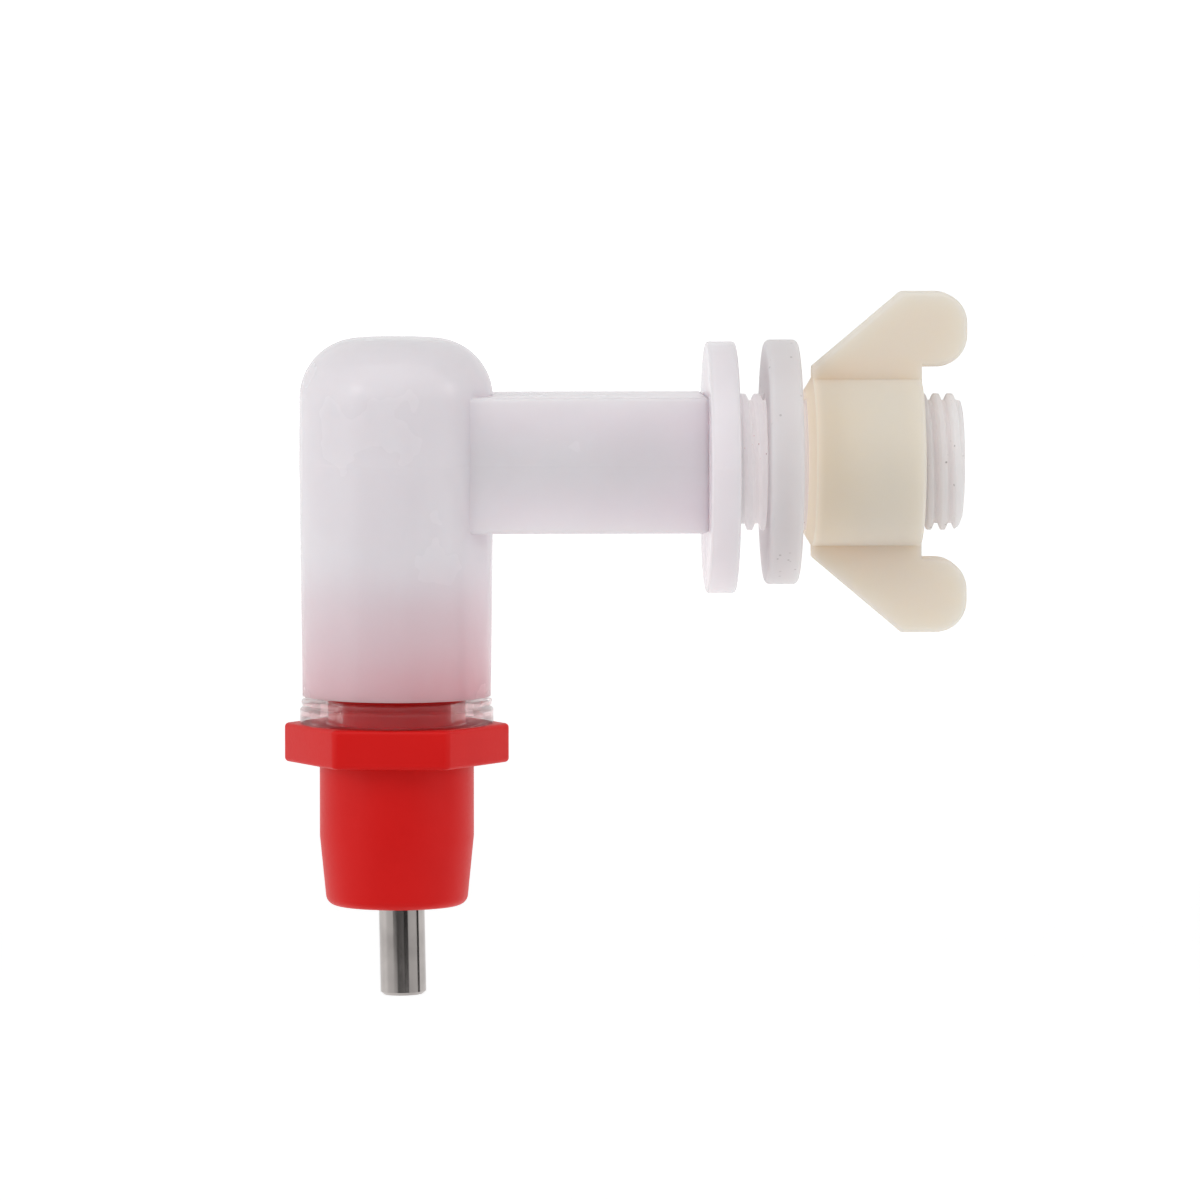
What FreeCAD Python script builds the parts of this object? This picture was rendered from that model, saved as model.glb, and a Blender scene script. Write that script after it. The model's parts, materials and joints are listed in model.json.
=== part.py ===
import FreeCAD, Part
import os

import Sketcher

# Nipple drinker for poultry: an elbow that clamps through a bucket's wall and carries a valve that drips when
# a bird pushes its pin. Millimetres. Origin: the middle of the flange's seat face, where the bucket's wall bears.
# +X runs along the spigot into the bucket, +Z is up, and the valve hangs on an upright axis at -X.

# ---------------------------------------------------------------- driving dimensions
SIZES = {
    # elbow
    "axis_reach": 28.2,  # upright axis to the flange's seat face
    "socket_drop": 19.4,  # spigot axis down to the socket's rim
    "dome_rise": 10.4,  # spigot axis up to the top of the dome
    "dome_round": 5.0,
    "dome_wall": 2.0,
    "socket_wall": 2.07,  # at the rim
    "socket_draft": 0.25,  # growth in radius from the rim up to the parting plane
    "crown_draft": 0.05,  # loss in radius from the parting plane to the dome
    "chamber_step": 0.45,  # the water chamber is this much smaller than the threaded mouth
    "chamber_round": 2.5,
    "rim_chamfer": 0.4,
    "arm_width": 10.9,
    "arm_height": 11.3,
    "arm_edge": 0.4,
    "water_radius": 3.5,
    "flange_radius": 10.5,
    "flange_thickness": 2.45,
    "flange_sink": 0.45,  # the flange's centre lies this far under the spigot's
    "flange_edge": 0.3,
    "spigot_radius": 5.7,
    "spigot_length": 18.85,
    "spigot_round": 0.9,
    # washer and wing nut
    "thread_clearance": 0.08,  # every thread and the parts that slide over one
    "wall_gap": 2.42,  # room for the bucket's wall, flange to washer
    "washer_radius": 10.2,
    "washer_thickness": 2.8,
    "washer_edge": 0.45,
    "nut_gap": 0.58,
    "nut_wall": 1.32,
    "hub_length": 9.7,
    "hub_bevel_length": 0.6,
    "hub_bevel_drop": 1.0,
    "hub_edge": 0.3,
    "wing_setback": 0.6,
    "wing_root": 7.96,  # spigot axis to the underside of a wing's tab
    "wing_height": 14.2,
    "wing_shoulder": 8.0,  # hub face to the end of the wing's slope
    "wing_reach": 13.5,
    "wing_thickness": 3.0,
    "wing_tip_round": 2.65,
    "wing_shoulder_round": 0.6,
    "wing_edge": 0.4,
    # gasket
    "rim_gap": 0.3,  # elbow rim to gasket, as screwed up by hand
    "gasket_height": 2.0,
    "gasket_band": 1.35,
    "gasket_radius": 8.08,
    "gasket_groove": 0.3,
    "gasket_lip": 0.15,
    # valve body
    "shank_radius": 5.7,
    "shank_height": 10.8,
    "shank_chamfer": 0.4,
    "hexagon_flats": 16.4,
    "hexagon_thickness": 3.25,
    "hexagon_corner": 0.8,
    "hexagon_edge": 0.35,
    "hexagon_turn": -4.7,  # degrees, where the thread happened to stop
    "barrel_straight": 6.15,  # under the hexagon
    "barrel_height": 11.95,
    "barrel_taper": 0.58,
    "mouth_wall": 1.4,
    "mouth_play": 2.535,  # pin to mouth, which lets the pin swing
    "mouth_round": 0.9,
    "mouth_edge": 0.25,
    "throat_play": 1.385,
    # valve parts
    "pin_radius": 1.915,
    "pin_length": 27.4,  # pivot to foot
    "pin_lean": 1.1,  # degrees
    "pin_chamfer": 0.25,
    "pin_head": 0.8,  # pivot to the top of the head
    "head_ledge": 1.185,
    "head_edge": 0.3,
    "ball_ledge": 1.635,  # the head's rounded underside is this much larger than the pin
    "pivot_height": 4.7,  # hexagon's top face to the pivot
    "seat_clearance": 0.05,
    "seat_play": 0.535,  # pin to the hole in its seat
    "seat_land": 0.11,
    "seat_flare": 0.55,
    "sleeve_play": 0.35,  # head to sleeve
    "sleeve_wall": 0.55,
    "sleeve_foot": 3.6,  # pivot down to the sleeve's foot
    "sleeve_ledge": 2.8,  # pivot up to the upper seat
    "sleeve_lip": 0.3,
    "press_clearance": 0.02,
    "seal_thickness": 1.0,
    "seal_width": 0.65,
    "seal_edge": 0.2,
    "upper_thickness": 1.2,
    "upper_land": 0.3,
    "upper_hole": 1.15,
    "stem_radius": 0.85,
    "stem_tip": 0.8,
    "stem_gap": 0.12,  # stem to the trigger pin's head
    "metering_head": 1.9,
    "metering_rise": 5.2,  # pivot to the top of the metering pin
    "metering_edge": 0.3,
    "metering_gap": 0.07,
    # inlet cap
    "cap_wall": 0.78,
    "cap_flange": 0.72,
    "cap_floor": 0.8,
    "cap_rise": 2.4,
    "slot_width": 1.4,
    "slot_height": 0.8,
    "slot_count": 4,
}

doc = FreeCAD.newDocument("NippleDrinker")
sheet = doc.addObject("Spreadsheet::Sheet", "Dims")
for row, (alias, size) in enumerate(SIZES.items(), start=1):
    sheet.set(f"A{row}", alias)
    sheet.set(f"B{row}", str(size))
    sheet.setAlias(f"B{row}", alias)
doc.recompute()

# sizes that follow from the sheet, as expressions
SPIGOT_BORE = "(Dims.spigot_radius + Dims.thread_clearance)"
SHANK_BORE = "(Dims.shank_radius + Dims.thread_clearance)"
SOCKET_MOUTH = f"({SHANK_BORE} + Dims.socket_wall)"
SOCKET_MIDDLE = f"({SOCKET_MOUTH} + Dims.socket_draft)"
SOCKET_CROWN = f"({SOCKET_MIDDLE} - Dims.crown_draft)"
CHAMBER = f"({SHANK_BORE} - Dims.chamber_step)"
HUB = f"({SPIGOT_BORE} + Dims.nut_wall)"
GASKET_SEAT = "(Dims.rim_gap + Dims.gasket_height)"  # elbow rim down to the hexagon
HEXAGON_TOP = f"(-Dims.socket_drop - {GASKET_SEAT})"
PIVOT = f"({HEXAGON_TOP} + Dims.pivot_height)"
SHANK_TOP = f"({HEXAGON_TOP} + Dims.shank_height)"
MOUTH = "(Dims.pin_radius + Dims.mouth_play)"
FOOT = f"({MOUTH} + Dims.mouth_wall)"
BARREL = f"({FOOT} + Dims.barrel_taper)"
BODY_FOOT = "(Dims.hexagon_thickness + Dims.barrel_height)"
HEAD = "(Dims.pin_radius + Dims.head_ledge)"
BALL = "(Dims.pin_radius + Dims.ball_ledge)"
SEAT_HOLE = "(Dims.pin_radius + Dims.seat_play)"
SEAT_CONE = f"(({BALL} + Dims.seat_clearance) * sqrt(2))"  # where the 45 degree seat would meet the axis
SLEEVE_BORE = f"({HEAD} + Dims.sleeve_play)"
SLEEVE = f"({SLEEVE_BORE} + Dims.sleeve_wall)"
SLEEVE_TOP = "(Dims.sleeve_ledge + Dims.upper_thickness)"
VALVE_BORE = f"({SLEEVE} + Dims.press_clearance)"
SHOULDER = "(Dims.sleeve_foot + Dims.seal_thickness)"  # pivot down to the body's shoulder
UPPER_CONE = "(Dims.sleeve_ledge + Dims.upper_land)"  # where the upper seat starts to open
UPPER_MOUTH = "(Dims.upper_hole + Dims.upper_thickness - Dims.upper_land)"
CAP_SKIRT = f"(Dims.shank_height - Dims.pivot_height - {SLEEVE_TOP})"
CAP_DOME = f"({VALVE_BORE} - 2 * Dims.press_clearance)"
CAP_BORE = f"({CAP_DOME} - Dims.cap_wall)"


# ---------------------------------------------------------------- how a sub-part is built
def at(expression):
    """The present value of a size expression."""
    return float(sheet.evalExpression(expression))


def new_body(label):
    """A body with its own name, at the origin of the drinker."""
    body = doc.addObject("PartDesign::Body", label)
    body.Label = label
    return body


def place(body, across=None, up=None):
    """Puts a body on the spigot's axis, or hangs it on the upright one."""
    if across:
        body.setExpression("Placement.Base.x", across)
    if up:
        body.setExpression("Placement.Base.z", up)


def datum(body, role):
    """One of a body's own origin planes or axes."""
    return next(feature for feature in body.Origin.OriginFeatures if feature.Role == role)


def new_sketch(body, name, role, offset=None):
    """An empty sketch on an origin plane, moved along the plane's normal by an offset."""
    sketch = body.newObject("Sketcher::SketchObject", name)
    sketch.AttachmentSupport = [(datum(body, role), "")]
    sketch.MapMode = "FlatFace"
    if offset:
        sketch.setExpression("AttachmentOffset.Base.z", offset)
    return sketch


def bind(sketch, kind, item, corner, size, name):
    """Ties one coordinate of a corner to a size, or lays the corner on an axis where the size is nought."""
    if size == "0":
        axis = -2 if kind == "DistanceX" else -1
        sketch.addConstraint(Sketcher.Constraint("PointOnObject", item, corner, axis))
        return
    number = sketch.addConstraint(Sketcher.Constraint(kind, -1, 1, item, corner, at(size)))
    sketch.renameConstraint(number, name)
    sketch.setExpression(f"Constraints.{name}", size)


def outline(body, name, role, corners, arc=None, centre=("0", "0")):
    """A closed outline through corners given as (across, up) sizes.

    The side numbered arc is one about the given centre, and the corner that ends it rides on the arc."""
    sketch = new_sketch(body, name, role)
    middle = FreeCAD.Vector(at(centre[0]), at(centre[1]), 0)
    points = [FreeCAD.Vector(at(across), at(up), 0) for across, up in corners]
    count = len(points)
    for side, start in enumerate(points):
        end = points[(side + 1) % count]
        if side == arc:
            circle = Part.Circle(middle, FreeCAD.Vector(0, 0, 1), (start - middle).Length)
            edge = Part.ArcOfCircle(circle, circle.parameter(start), circle.parameter(end))
        else:
            edge = Part.LineSegment(start, end)
        sketch.addGeometry(edge, False)
    for side in range(count):
        sketch.addConstraint(Sketcher.Constraint("Coincident", side, 2, (side + 1) % count, 1))
    if arc is not None:
        bind(sketch, "DistanceX", arc, 3, centre[0], "across_centre")
        bind(sketch, "DistanceY", arc, 3, centre[1], "up_centre")
    for side, (across, up) in enumerate(corners):
        bind(sketch, "DistanceX", side, 1, across, f"across{side}")
        if arc is None or side != arc + 1:
            bind(sketch, "DistanceY", side, 1, up, f"up{side}")
    return sketch


def circle_sketch(body, name, role, radius, offset=None, up="0"):
    """A circle centred on the sketch's upright axis."""
    sketch = new_sketch(body, name, role, offset)
    centre = FreeCAD.Vector(0, at(up), 0)
    sketch.addGeometry(Part.Circle(centre, FreeCAD.Vector(0, 0, 1), at(radius)), False)
    number = sketch.addConstraint(Sketcher.Constraint("Radius", 0, at(radius)))
    sketch.renameConstraint(number, "radius")
    sketch.setExpression("Constraints.radius", radius)
    bind(sketch, "DistanceX", 0, 3, "0", "across")
    bind(sketch, "DistanceY", 0, 3, up, "up")
    return sketch


def turn(body, name, sketch, axis, kind="Revolution"):
    """Revolves a sketch about its own H or V axis. A Groove cuts and has to take material away."""
    before = body.Shape.Volume if kind == "Groove" else 0
    feature = body.newObject(f"PartDesign::{kind}", name)
    feature.Profile = sketch
    feature.ReferenceAxis = (sketch, [axis])
    feature.Angle = 360
    doc.recompute()
    if kind == "Groove" and not feature.Shape.Volume < before:
        raise RuntimeError(f"{name} cuts nothing")
    return feature


def pad(body, name, sketch, length, both_ways=False):
    """Extrudes a sketch along its normal, or half each way."""
    feature = body.newObject("PartDesign::Pad", name)
    feature.Profile = sketch
    feature.Midplane = both_ways
    feature.setExpression("Length", length)
    doc.recompute()
    return feature


def pocket(body, name, sketch, length):
    """Cuts a sketch along its normal, and has to take material away."""
    before = body.Shape.Volume
    feature = body.newObject("PartDesign::Pocket", name)
    feature.Profile = sketch
    feature.Reversed = True
    feature.setExpression("Length", length)
    doc.recompute()
    if not feature.Shape.Volume < before:
        raise RuntimeError(f"{name} cuts nothing")
    return feature


def dress(body, kind, name, size, chosen):
    """Rounds or bevels the edges of the body's last feature that pass a test."""
    base = body.Tip
    found = enumerate(base.Shape.Edges, start=1)
    edges = [f"Edge{number}" for number, edge in found if not edge.Degenerated and chosen(edge)]
    if not edges:
        raise RuntimeError(f"{name} finds no edge")
    feature = body.newObject(f"PartDesign::{kind}", name)
    feature.Base = (base, edges)
    feature.setExpression("Radius" if kind == "Fillet" else "Size", size)
    doc.recompute()
    return feature


TOLERANCE = 1e-4


def near(value, expression):
    """Whether a measured value is the one that an expression gives."""
    return abs(value - at(expression)) < TOLERANCE


def ring(axis, along, radius):
    """A test for the circular edge of a given radius, centred at a height along the x or z axis."""

    def chosen(edge):
        curve = edge.Curve
        round_edge = isinstance(curve, Part.Circle)
        return round_edge and near(curve.Radius, radius) and near(getattr(curve.Center, axis), along)

    return chosen


def either(*tests):
    """A test that passes an edge that any of the given tests passes."""
    return lambda edge: any(test(edge) for test in tests)


def ends(edge):
    """The two end points of a straight edge, or none for any other edge."""
    return [vertex.Point for vertex in edge.Vertexes] if isinstance(edge.Curve, Part.Line) else []


# ---------------------------------------------------------------- elbow
def make_elbow():
    """One moulding: domed socket, square arm, flange and hollow spigot, built about the crossing of its two axes."""
    body = new_body("elbow")
    place(body, across="-Dims.axis_reach")
    side, height = "Dims.arm_width / 2", "Dims.arm_height / 2"
    section = [(side, height), (f"-{side}", height), (f"-{side}", f"-{height}"), (side, f"-{height}")]
    arm_length = "Dims.axis_reach - Dims.flange_thickness"
    pad(body, "Arm", outline(body, "ArmSection", "YZ_Plane", section), arm_length)
    dress(body, "Fillet", "ArmEdges", "Dims.arm_edge", arm_edge)

    top, shoulder = f"{SOCKET_CROWN} - Dims.dome_round", "Dims.dome_rise - Dims.dome_round"
    socket = [
        ("0", "-Dims.socket_drop"),
        (SOCKET_MOUTH, "-Dims.socket_drop"),
        (SOCKET_MIDDLE, "0"),
        (SOCKET_CROWN, shoulder),
        (top, "Dims.dome_rise"),
        ("0", "Dims.dome_rise"),
    ]
    sketch = outline(body, "SocketOutline", "XZ_Plane", socket, arc=3, centre=(top, shoulder))
    turn(body, "Socket", sketch, "V_Axis")

    sink = "-Dims.flange_sink"
    flange = circle_sketch(body, "FlangeCircle", "YZ_Plane", "Dims.flange_radius", arm_length, sink)
    pad(body, "Flange", flange, "Dims.flange_thickness")
    rims = [ring("x", along, "Dims.flange_radius") for along in (arm_length, "Dims.axis_reach")]
    dress(body, "Fillet", "FlangeRim", "Dims.flange_edge", either(*rims))

    spigot = circle_sketch(body, "SpigotCircle", "YZ_Plane", "Dims.spigot_radius", "Dims.axis_reach")
    pad(body, "Spigot", spigot, "Dims.spigot_length")
    spigot_end = "Dims.axis_reach + Dims.spigot_length"
    dress(body, "Fillet", "SpigotEnd", "Dims.spigot_round", ring("x", spigot_end, "Dims.spigot_radius"))

    thread_top = f"({SHANK_TOP} + Dims.cap_floor)"
    chamber_top = "(Dims.dome_rise - Dims.dome_wall)"
    cavity = [
        ("0", "-Dims.socket_drop"),
        (SHANK_BORE, "-Dims.socket_drop"),
        (SHANK_BORE, thread_top),
        (CHAMBER, thread_top),
        (CHAMBER, chamber_top),
        ("0", chamber_top),
    ]
    turn(body, "Chamber", outline(body, "ChamberOutline", "XZ_Plane", cavity), "V_Axis", "Groove")
    dress(body, "Fillet", "ChamberTop", "Dims.chamber_round", ring("z", chamber_top, CHAMBER))
    dress(body, "Chamfer", "RimChamfer", "Dims.rim_chamfer", ring("z", "-Dims.socket_drop", SHANK_BORE))

    water = [("0", "0"), (spigot_end, "0"), (spigot_end, "Dims.water_radius"), ("0", "Dims.water_radius")]
    turn(body, "WaterBore", outline(body, "WaterOutline", "XZ_Plane", water), "H_Axis", "Groove")
    dress(body, "Chamfer", "WaterMouth", "Dims.rim_chamfer", ring("x", spigot_end, "Dims.water_radius"))
    return body


def arm_edge(edge):
    """The four long edges of the square arm."""
    points = ends(edge)
    at_sides = all(near(abs(point.y), "Dims.arm_width / 2") for point in points)
    return bool(points) and at_sides and all(near(abs(point.z), "Dims.arm_height / 2") for point in points)


# ---------------------------------------------------------------- washer and wing nut
def make_washer():
    """Soft ring between the bucket's wall and the nut."""
    body = new_body("bucket_washer")
    place(body, across="Dims.wall_gap")
    section = [
        ("0", SPIGOT_BORE),
        ("Dims.washer_thickness", SPIGOT_BORE),
        ("Dims.washer_thickness", "Dims.washer_radius"),
        ("0", "Dims.washer_radius"),
    ]
    turn(body, "Ring", outline(body, "RingSection", "XZ_Plane", section), "H_Axis")
    rims = [ring("x", along, "Dims.washer_radius") for along in ("0", "Dims.washer_thickness")]
    dress(body, "Fillet", "RingRim", "Dims.washer_edge", either(*rims))
    return body


def make_wing_nut():
    """Round hub with a bevelled seat and two flat wings, which stand up and down."""
    body = new_body("wing_nut")
    place(body, across="Dims.wall_gap + Dims.washer_thickness + Dims.nut_gap")
    hub = [
        ("0", "0"),
        ("Dims.hub_length", "0"),
        ("Dims.hub_length", HUB),
        ("Dims.hub_bevel_length", HUB),
        ("0", f"{HUB} - Dims.hub_bevel_drop"),
    ]
    turn(body, "Hub", outline(body, "HubSection", "XZ_Plane", hub), "H_Axis")
    dress(body, "Fillet", "HubEdge", "Dims.hub_edge", ring("x", "Dims.hub_length", HUB))
    wing = [
        ("Dims.wing_setback", "Dims.wing_root"),
        ("Dims.wing_shoulder", "Dims.wing_height"),
        ("Dims.wing_reach", "Dims.wing_height"),
        ("Dims.wing_reach", "Dims.wing_root"),
        ("Dims.hub_length", "Dims.wing_root"),
    ]
    under = [(across, f"-{up}") for across, up in reversed(wing)]
    wings = outline(body, "WingOutline", "XZ_Plane", wing + under)
    pad(body, "Wings", wings, "Dims.wing_thickness", both_ways=True)
    dress(body, "Fillet", "WingTips", "Dims.wing_tip_round", wing_corner("Dims.wing_reach"))
    dress(body, "Fillet", "WingShoulders", "Dims.wing_shoulder_round", wing_corner("Dims.wing_shoulder"))
    dress(body, "Fillet", "WingEdges", "Dims.wing_edge", wing_edge)
    bore = circle_sketch(body, "NutBoreCircle", "YZ_Plane", SPIGOT_BORE)
    pocket(body, "NutBore", bore, "Dims.hub_length")
    dress(body, "Chamfer", "NutBoreMouth", "Dims.hub_edge", ring("x", "Dims.hub_length", SPIGOT_BORE))
    return body


def wing_corner(across):
    """A test for the wings' edges that run through the plate's thickness at one place along it."""

    def chosen(edge):
        points = ends(edge)
        across_plate = bool(points) and abs(points[0].z - points[1].z) < TOLERANCE
        return across_plate and all(near(point.x, across) and abs(point.z) > at(HUB) for point in points)

    return chosen


def wing_edge(edge):
    """The outline of each wing on the plate's two faces, beyond the hub."""
    points = [vertex.Point for vertex in edge.Vertexes] + [edge.CenterOfGravity]
    return all(
        near(abs(point.y), "Dims.wing_thickness / 2") and abs(point.z) > at("Dims.wing_root") - TOLERANCE
        for point in points
    )


# ---------------------------------------------------------------- gasket and valve body
def make_gasket():
    """Clear ring between the hexagon and the elbow's rim, with a groove under its upper bead."""
    body = new_body("nipple_gasket")
    place(body, across="-Dims.axis_reach", up=HEXAGON_TOP)
    section = [
        (SHANK_BORE, "0"),
        ("Dims.gasket_radius", "0"),
        ("Dims.gasket_radius", "Dims.gasket_band"),
        ("Dims.gasket_radius - Dims.gasket_groove", "Dims.gasket_band + Dims.gasket_lip"),
        ("Dims.gasket_radius - Dims.gasket_lip", "Dims.gasket_band + 2 * Dims.gasket_lip"),
        ("Dims.gasket_radius - Dims.gasket_lip", "Dims.gasket_height"),
        (SHANK_BORE, "Dims.gasket_height"),
    ]
    turn(body, "Ring", outline(body, "RingSection", "XZ_Plane", section), "V_Axis")
    return body


def make_valve_body():
    """Red moulding: threaded shank, hexagon and barrel, with the valve's bore above and a flared throat."""
    body = new_body("nipple_body")
    place(body, across="-Dims.axis_reach", up=HEXAGON_TOP)
    body.Placement.Rotation = FreeCAD.Rotation(FreeCAD.Vector(0, 0, 1), at("Dims.hexagon_turn"))
    body.setExpression("Placement.Rotation.Angle", "Dims.hexagon_turn * 1deg")
    middle = "-Dims.hexagon_thickness / 2"
    turned = [
        ("0", "Dims.shank_height"),
        ("0", f"-{BODY_FOOT}"),
        (FOOT, f"-{BODY_FOOT}"),
        (BARREL, "-Dims.hexagon_thickness - Dims.barrel_straight"),
        (BARREL, middle),
        ("Dims.shank_radius", middle),
        ("Dims.shank_radius", "Dims.shank_height"),
    ]
    turn(body, "Turned", outline(body, "TurnedOutline", "XZ_Plane", turned), "V_Axis")
    dress(body, "Fillet", "BarrelFoot", "Dims.mouth_round", ring("z", f"-{BODY_FOOT}", FOOT))
    shank_top = ring("z", "Dims.shank_height", "Dims.shank_radius")
    dress(body, "Chamfer", "ShankTop", "Dims.shank_chamfer", shank_top)

    hexagon = body.newObject("PartDesign::AdditivePrism", "Hexagon")
    hexagon.Polygon = 6
    hexagon.setExpression("Circumradius", "Dims.hexagon_flats / sqrt(3)")
    hexagon.setExpression("Height", "Dims.hexagon_thickness")
    hexagon.AttachmentSupport = [(datum(body, "XY_Plane"), "")]
    hexagon.MapMode = "FlatFace"
    hexagon.setExpression("AttachmentOffset.Base.z", "-Dims.hexagon_thickness")
    doc.recompute()
    dress(body, "Fillet", "HexagonCorners", "Dims.hexagon_corner", hexagon_corner)
    dress(body, "Fillet", "HexagonEdges", "Dims.hexagon_edge", hexagon_edge)

    shoulder = f"(Dims.pivot_height - {SHOULDER})"
    bore = [
        ("0", "Dims.shank_height"),
        ("0", f"-{BODY_FOOT}"),
        (MOUTH, f"-{BODY_FOOT}"),
        ("Dims.pin_radius + Dims.throat_play", shoulder),
        (VALVE_BORE, shoulder),
        (VALVE_BORE, "Dims.shank_height"),
    ]
    turn(body, "Bore", outline(body, "BoreOutline", "XZ_Plane", bore), "V_Axis", "Groove")
    dress(body, "Chamfer", "MouthEdge", "Dims.mouth_edge", ring("z", f"-{BODY_FOOT}", MOUTH))
    return body


def hexagon_corner(edge):
    """The hexagon's six upright edges."""
    points = ends(edge)
    upright = bool(points) and abs(points[0].z - points[-1].z) > TOLERANCE
    return upright and all(near((point.x**2 + point.y**2) ** 0.5, "Dims.hexagon_flats / sqrt(3)") for point in points)


def hexagon_edge(edge):
    """The hexagon's outline on its top and bottom faces."""
    inside = max(at(BARREL), at("Dims.shank_radius")) + TOLERANCE
    points = [vertex.Point for vertex in edge.Vertexes]
    level = all(near(point.z, "0") or near(point.z, "-Dims.hexagon_thickness") for point in points)
    flat = abs(points[0].z - points[-1].z) < TOLERANCE
    return level and flat and all(point.x**2 + point.y**2 > inside**2 for point in points)


# ---------------------------------------------------------------- valve parts, built about the pin's pivot
def hang(body, section, arc=None):
    """Turns a valve part and hangs it with its origin at the pivot. An arc is one about the pivot."""
    place(body, across="-Dims.axis_reach", up=PIVOT)
    return turn(body, "Turned", outline(body, "TurnedOutline", "XZ_Plane", section, arc), "V_Axis")


def make_sleeve():
    """Stainless sleeve with the trigger pin's conical seat, a flared foot and a ledge for the upper seat."""
    body = new_body("seat_sleeve")
    hole_top = f"({SEAT_HOLE} - {SEAT_CONE})"
    hole_foot = f"({hole_top} - Dims.seat_land)"
    pocket_radius = f"({SLEEVE} - Dims.sleeve_lip)"
    section = [
        (SLEEVE, "-Dims.sleeve_foot"),
        (SLEEVE, SLEEVE_TOP),
        (pocket_radius, SLEEVE_TOP),
        (pocket_radius, "Dims.sleeve_ledge"),
        (SLEEVE_BORE, "Dims.sleeve_ledge"),
        (SLEEVE_BORE, f"({SLEEVE_BORE} - {SEAT_CONE})"),
        (SEAT_HOLE, hole_top),
        (SEAT_HOLE, hole_foot),
        (f"({SEAT_HOLE} + Dims.seat_flare)", "-Dims.sleeve_foot"),
    ]
    hang(body, section)
    return body


def make_seal():
    """Rubber ring squeezed between the sleeve's foot and the body's shoulder."""
    body = new_body("seal_ring")
    inner = f"({SLEEVE} - Dims.seal_width)"
    section = [
        (inner, "-Dims.sleeve_foot"),
        (inner, f"-{SHOULDER}"),
        (SLEEVE, f"-{SHOULDER}"),
        (SLEEVE, "-Dims.sleeve_foot"),
    ]
    hang(body, section)
    levels = ("-Dims.sleeve_foot", f"-{SHOULDER}")
    corners = [ring("z", level, radius) for level in levels for radius in (inner, SLEEVE)]
    dress(body, "Fillet", "RingEdges", "Dims.seal_edge", either(*corners))
    return body


def make_upper_seat():
    """Stainless disc with a countersunk hole that the metering pin closes."""
    body = new_body("upper_seat")
    rim = f"({SLEEVE} - Dims.sleeve_lip - Dims.press_clearance)"
    section = [
        ("Dims.upper_hole", "Dims.sleeve_ledge"),
        (rim, "Dims.sleeve_ledge"),
        (rim, SLEEVE_TOP),
        (UPPER_MOUTH, SLEEVE_TOP),
        ("Dims.upper_hole", UPPER_CONE),
    ]
    hang(body, section)
    return body


def make_metering_pin():
    """Small pin whose cone closes the upper seat and whose stem stands just over the trigger pin."""
    body = new_body("metering_pin")
    foot = "(Dims.pin_head + Dims.stem_gap)"
    cone = f"({UPPER_CONE} - Dims.upper_hole + Dims.metering_gap)"
    section = [
        ("0", foot),
        ("Dims.stem_radius", foot),
        ("Dims.stem_radius", f"({cone} + Dims.stem_radius)"),
        ("Dims.metering_head", f"({cone} + Dims.metering_head)"),
        ("Dims.metering_head", "Dims.metering_rise"),
        ("0", "Dims.metering_rise"),
    ]
    hang(body, section)
    dress(body, "Fillet", "StemTip", "Dims.stem_tip", ring("z", foot, "Dims.stem_radius"))
    head_top = ring("z", "Dims.metering_rise", "Dims.metering_head")
    dress(body, "Fillet", "HeadEdge", "Dims.metering_edge", head_top)
    return body


def make_trigger_pin():
    """Long pin that a bird pushes. Its head is rounded about the pivot underneath, and it hangs at a slight lean."""
    body = new_body("trigger_pin")
    section = [
        ("0", "Dims.pin_head"),
        ("0", "-Dims.pin_length"),
        ("Dims.pin_radius", "-Dims.pin_length"),
        ("Dims.pin_radius", f"-sqrt({BALL}^2 - Dims.pin_radius^2)"),
        (HEAD, f"-sqrt({BALL}^2 - {HEAD}^2)"),
        (HEAD, "Dims.pin_head"),
    ]
    hang(body, section, arc=3)
    dress(body, "Fillet", "HeadEdge", "Dims.head_edge", ring("z", "Dims.pin_head", HEAD))
    dress(body, "Chamfer", "PinFoot", "Dims.pin_chamfer", ring("z", "-Dims.pin_length", "Dims.pin_radius"))
    body.Placement.Rotation = FreeCAD.Rotation(FreeCAD.Vector(0, -1, 0), at("Dims.pin_lean"))
    body.setExpression("Placement.Rotation.Angle", "Dims.pin_lean * 1deg")
    return body


def make_inlet_cap():
    """Plastic cap on the shank: a skirt that holds the metal parts down, and slots that let the water in."""
    body = new_body("inlet_cap")
    place(body, across="-Dims.axis_reach", up=SHANK_TOP)
    flange = f"({VALVE_BORE} + Dims.cap_flange)"
    ceiling = "(Dims.cap_rise - Dims.cap_floor)"
    section = [
        (CAP_BORE, f"-{CAP_SKIRT}"),
        (CAP_DOME, f"-{CAP_SKIRT}"),
        (CAP_DOME, "0"),
        (flange, "0"),
        (flange, "Dims.cap_floor"),
        (CAP_DOME, "Dims.cap_floor"),
        (CAP_DOME, "Dims.cap_rise"),
        ("0", "Dims.cap_rise"),
        ("0", ceiling),
        (CAP_BORE, ceiling),
    ]
    turn(body, "Turned", outline(body, "TurnedOutline", "XZ_Plane", section), "V_Axis")
    side, top = "Dims.slot_width / 2", "Dims.cap_floor + Dims.slot_height"
    mouth = [(side, "Dims.cap_floor"), (side, top), (f"-{side}", top), (f"-{side}", "Dims.cap_floor")]
    slot = pocket(body, "Slot", outline(body, "SlotOutline", "YZ_Plane", mouth), flange)
    slots = body.newObject("PartDesign::PolarPattern", "Slots")
    slots.Originals = [slot]
    slots.Axis = (datum(body, "Z_Axis"), [""])
    slots.Angle = 360
    slots.setExpression("Occurrences", "Dims.slot_count")
    body.Tip = slots
    doc.recompute()
    return body


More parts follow.
